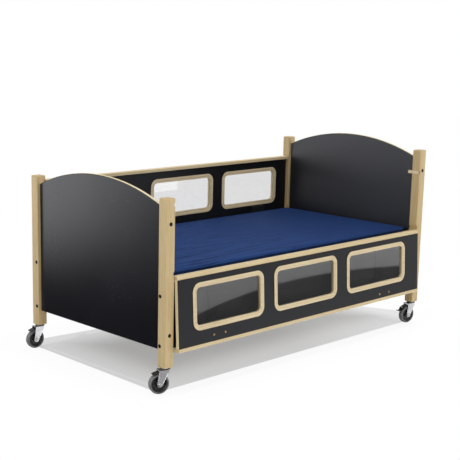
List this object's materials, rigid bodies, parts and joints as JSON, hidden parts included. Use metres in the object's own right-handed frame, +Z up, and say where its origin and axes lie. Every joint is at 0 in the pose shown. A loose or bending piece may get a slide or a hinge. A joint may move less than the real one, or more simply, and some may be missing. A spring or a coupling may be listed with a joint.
{
  "type": "safety bed",
  "caption": "Wooden care bed on swivel casters with arched end panels, windowed side panels that lower outside the rails, and a wipe-clean mattress.",
  "frame": {"origin": "middle of the bed's outline, on the floor, with the casters as in the picture", "axes": "+X along the bed to its head end, +Y from the lowered front panel to the raised back panel, +Z up"},
  "size_m": [2.1054, 1.1092, 1.092],
  "materials": {
    "beech_wood": "clear satin lacquer",
    "deck_ply": "plain",
    "black_laminate": "satin laminate on ply",
    "clear_pane": "clear acrylic",
    "mattress_vinyl": "coated cloth",
    "plated_steel": "plated",
    "caster_plastic": "moulded",
    "runner_plastic": "smooth",
    "tyre_rubber": "non-marking"
  },
  "bodies": {
    "bed_frame": {"foot_front_post": "beech_wood", "foot_back_post": "beech_wood", "head_front_post": "beech_wood", "head_back_post": "beech_wood", "foot_panel": "black_laminate", "head_panel": "black_laminate", "front_rail": "black_laminate", "back_rail": "black_laminate", "deck_board": "deck_ply", "front_deck_ledger": "deck_ply", "back_deck_ledger": "deck_ply", "deck_bearer": "deck_ply", "mattress": "mattress_vinyl", "front_foot_batten": "runner_plastic", "front_head_batten": "runner_plastic", "back_foot_batten": "runner_plastic", "back_head_batten": "runner_plastic", "foot_front_keeper": "beech_wood", "head_front_keeper": "beech_wood"},
    "front_panel": {"front_panel_board": "black_laminate", "front_panel_top_cap": "beech_wood", "front_panel_bottom_cap": "beech_wood", "front_window_frame_1": "beech_wood", "front_window_frame_2": "beech_wood", "front_window_frame_3": "beech_wood", "front_window_pane_1": "clear_pane", "front_window_pane_2": "clear_pane", "front_window_pane_3": "clear_pane"},
    "back_panel": {"back_panel_board": "black_laminate", "back_panel_top_cap": "beech_wood", "back_panel_bottom_cap": "beech_wood", "back_window_frame_1": "beech_wood", "back_window_frame_2": "beech_wood", "back_window_frame_3": "beech_wood", "back_window_pane_1": "clear_pane", "back_window_pane_2": "clear_pane", "back_window_pane_3": "clear_pane"},
    "foot_front_caster_swivel": {"foot_front_caster_fork": "plated_steel", "foot_front_caster_axle": "plated_steel", "foot_front_caster_guard": "caster_plastic"},
    "foot_front_caster_wheel": {"foot_front_caster_hub": "caster_plastic", "foot_front_caster_tyre": "tyre_rubber"},
    "foot_back_caster_swivel": {"foot_back_caster_fork": "plated_steel", "foot_back_caster_axle": "plated_steel", "foot_back_caster_guard": "caster_plastic"},
    "foot_back_caster_wheel": {"foot_back_caster_hub": "caster_plastic", "foot_back_caster_tyre": "tyre_rubber"},
    "head_front_caster_swivel": {"head_front_caster_fork": "plated_steel", "head_front_caster_axle": "plated_steel", "head_front_caster_guard": "caster_plastic"},
    "head_front_caster_wheel": {"head_front_caster_hub": "caster_plastic", "head_front_caster_tyre": "tyre_rubber"},
    "head_front_caster_brake": {"head_front_caster_brake_lever": "caster_plastic"},
    "head_back_caster_swivel": {"head_back_caster_fork": "plated_steel", "head_back_caster_axle": "plated_steel", "head_back_caster_guard": "caster_plastic"},
    "head_back_caster_wheel": {"head_back_caster_hub": "caster_plastic", "head_back_caster_tyre": "tyre_rubber"},
    "head_back_caster_brake": {"head_back_caster_brake_lever": "caster_plastic"}
  },
  "joints": [
    {"name": "front_panel_lift", "type": "slide", "parent": "bed_frame", "child": "front_panel", "axis": [0, 0.0576, 0.9983], "range_m": [0, 0.35]},
    {"name": "back_panel_release", "type": "slide", "parent": "bed_frame", "child": "back_panel", "axis": [0, 1, 0], "range_m": [0, 0.03]},
    {"name": "foot_front_caster_swivel_turn", "type": "hinge", "parent": "bed_frame", "child": "foot_front_caster_swivel", "pos_m": [-0.97031, -0.49353, 0.128], "axis": [0, 0, 1], "continuous": true},
    {"name": "foot_front_caster_wheel_spin", "type": "hinge", "parent": "foot_front_caster_swivel", "child": "foot_front_caster_wheel", "pos_m": [-0.99976, -0.48103, 0.05], "axis": [-0.3907, -0.9205, 0], "continuous": true},
    {"name": "foot_back_caster_swivel_turn", "type": "hinge", "parent": "bed_frame", "child": "foot_back_caster_swivel", "pos_m": [-0.97031, 0.51047, 0.128], "axis": [0, 0, 1], "continuous": true},
    {"name": "foot_back_caster_wheel_spin", "type": "hinge", "parent": "foot_back_caster_swivel", "child": "foot_back_caster_wheel", "pos_m": [-1.00213, 0.51381, 0.05], "axis": [-0.1045, -0.9945, 0], "continuous": true},
    {"name": "head_front_caster_swivel_turn", "type": "hinge", "parent": "bed_frame", "child": "head_front_caster_swivel", "pos_m": [1.02569, -0.49353, 0.128], "axis": [0, 0, 1], "continuous": true},
    {"name": "head_front_caster_wheel_spin", "type": "hinge", "parent": "head_front_caster_swivel", "child": "head_front_caster_wheel", "pos_m": [0.99428, -0.48743, 0.05], "axis": [-0.1908, -0.9816, 0], "continuous": true},
    {"name": "head_front_caster_brake_press", "type": "hinge", "parent": "head_front_caster_swivel", "child": "head_front_caster_brake", "pos_m": [0.95854, -0.48048, 0.09189], "axis": [-0.1908, -0.9816, 0], "range_deg": [0, 6]},
    {"name": "head_back_caster_swivel_turn", "type": "hinge", "parent": "bed_frame", "child": "head_back_caster_swivel", "pos_m": [1.02569, 0.51047, 0.128], "axis": [0, 0, 1], "continuous": true},
    {"name": "head_back_caster_wheel_spin", "type": "hinge", "parent": "head_back_caster_swivel", "child": "head_back_caster_wheel", "pos_m": [0.99478, 0.51875, 0.05], "axis": [-0.2588, -0.9659, 0], "continuous": true},
    {"name": "head_back_caster_brake_press", "type": "hinge", "parent": "head_back_caster_swivel", "child": "head_back_caster_brake", "pos_m": [0.95961, 0.52817, 0.09189], "axis": [-0.2588, -0.9659, 0], "range_deg": [0, 6]}
  ]
}
